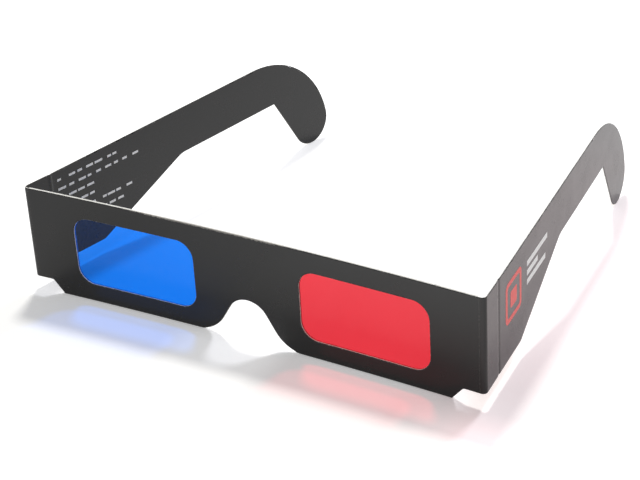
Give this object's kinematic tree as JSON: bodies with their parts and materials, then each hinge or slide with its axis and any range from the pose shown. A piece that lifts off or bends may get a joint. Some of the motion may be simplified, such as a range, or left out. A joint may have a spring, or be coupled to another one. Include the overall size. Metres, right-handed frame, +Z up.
{
  "type": "folding card 3d glasses",
  "caption": "Folding card glasses with a bowed front, a blue and a red film window, a nose cut-out, creased side strips and flat temples that end in ear hooks.",
  "frame": {"origin": "on the table, under the middle of the glasses' bounding box as they stand open", "axes": "+X to the wearer's left, +Y back along the temples, +Z up"},
  "size_m": [0.1406, 0.1214, 0.0336],
  "materials": {
    "card": "satin",
    "crease": "matte",
    "blue_film": "gloss",
    "red_film": "gloss",
    "glue": "matte"
  },
  "bodies": {
    "front": {"front_panel": "card", "back_panel": "card", "right_bottom_fold": "card", "left_bottom_fold": "card", "right_lens_film": "blue_film", "left_lens_film": "red_film", "right_end_glue": "glue", "bridge_glue": "glue", "left_end_glue": "glue", "right_front_crease": "crease", "left_front_crease": "crease"},
    "right_strip": {"right_hinge_strip": "card", "right_temple_crease": "crease"},
    "right_temple": {"right_temple": "card"},
    "left_strip": {"left_hinge_strip": "card", "left_temple_crease": "crease"},
    "left_temple": {"left_temple": "card"}
  },
  "joints": [
    {"name": "right_front_fold", "type": "hinge", "parent": "front", "child": "right_strip", "pos_m": [-0.07, -0.06036, 0.018], "axis": [0, 0, -1], "range_deg": [-105.7, 0]},
    {"name": "right_temple_fold", "type": "hinge", "parent": "right_strip", "child": "right_temple", "pos_m": [-0.0679, -0.0511, 0.018], "axis": [0, 0, -1], "range_deg": [0, 77]},
    {"name": "left_front_fold", "type": "hinge", "parent": "front", "child": "left_strip", "pos_m": [0.07, -0.06036, 0.018], "axis": [0, 0, 1], "range_deg": [-98.6, 0]},
    {"name": "left_temple_fold", "type": "hinge", "parent": "left_strip", "child": "left_temple", "pos_m": [0.06906, -0.05091, 0.018], "axis": [0, 0, 1], "range_deg": [0, 79]}
  ]
}
